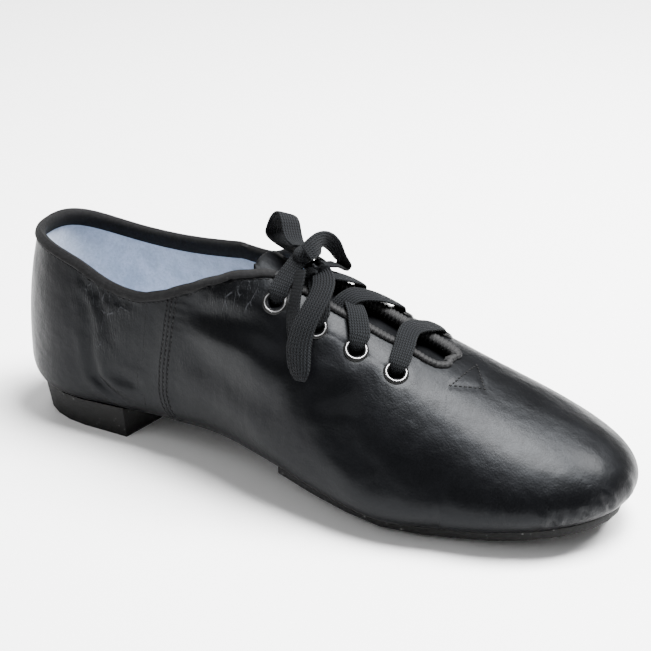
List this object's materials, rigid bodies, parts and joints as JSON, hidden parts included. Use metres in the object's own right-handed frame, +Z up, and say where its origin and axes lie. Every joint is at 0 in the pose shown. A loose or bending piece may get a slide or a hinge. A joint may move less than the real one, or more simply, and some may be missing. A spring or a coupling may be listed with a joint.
{
  "type": "jazz shoe",
  "caption": "Soft lace-up jazz shoe for the right foot: hollow leather upper, split rubber sole with a low heel, tongue and flat laces tied in a bow.",
  "frame": {"origin": "on the floor under the middle of the heel block", "axes": "+X from the heel towards the toe, +Y towards the inner side of the foot, +Z up; the shoe stands on its sole on the plane z = 0"},
  "size_m": [0.25, 0.087, 0.0959],
  "materials": {
    "black_leather": "soft semi-gloss",
    "black_cloth": "matte",
    "ribbed_tape": "matte, ribbed",
    "black_rubber": "matte",
    "grey_felt": "matte, brushed",
    "woven_lace": "matte, woven",
    "black_enamel": "gloss"
  },
  "bodies": {
    "root": {"upper": "black_leather", "heel": "black_rubber", "forefoot_sole": "black_rubber", "insole": "grey_felt", "tongue": "black_leather", "collar_binding": "black_cloth", "throat_binding": "ribbed_tape", "eyelet_outer_1": "black_enamel", "eyelet_outer_2": "black_enamel", "eyelet_outer_3": "black_enamel", "eyelet_outer_4": "black_enamel", "eyelet_inner_1": "black_enamel", "eyelet_inner_2": "black_enamel", "eyelet_inner_3": "black_enamel", "eyelet_inner_4": "black_enamel", "lace_bar": "woven_lace", "lace_crossing_1": "woven_lace", "lace_crossing_2": "woven_lace", "lace_strap_outer": "woven_lace", "lace_strap_inner": "woven_lace", "lace_knot": "woven_lace", "lace_loop_back": "woven_lace", "lace_loop_front": "woven_lace", "lace_loop_hanging": "woven_lace"}
  },
  "joints": []
}
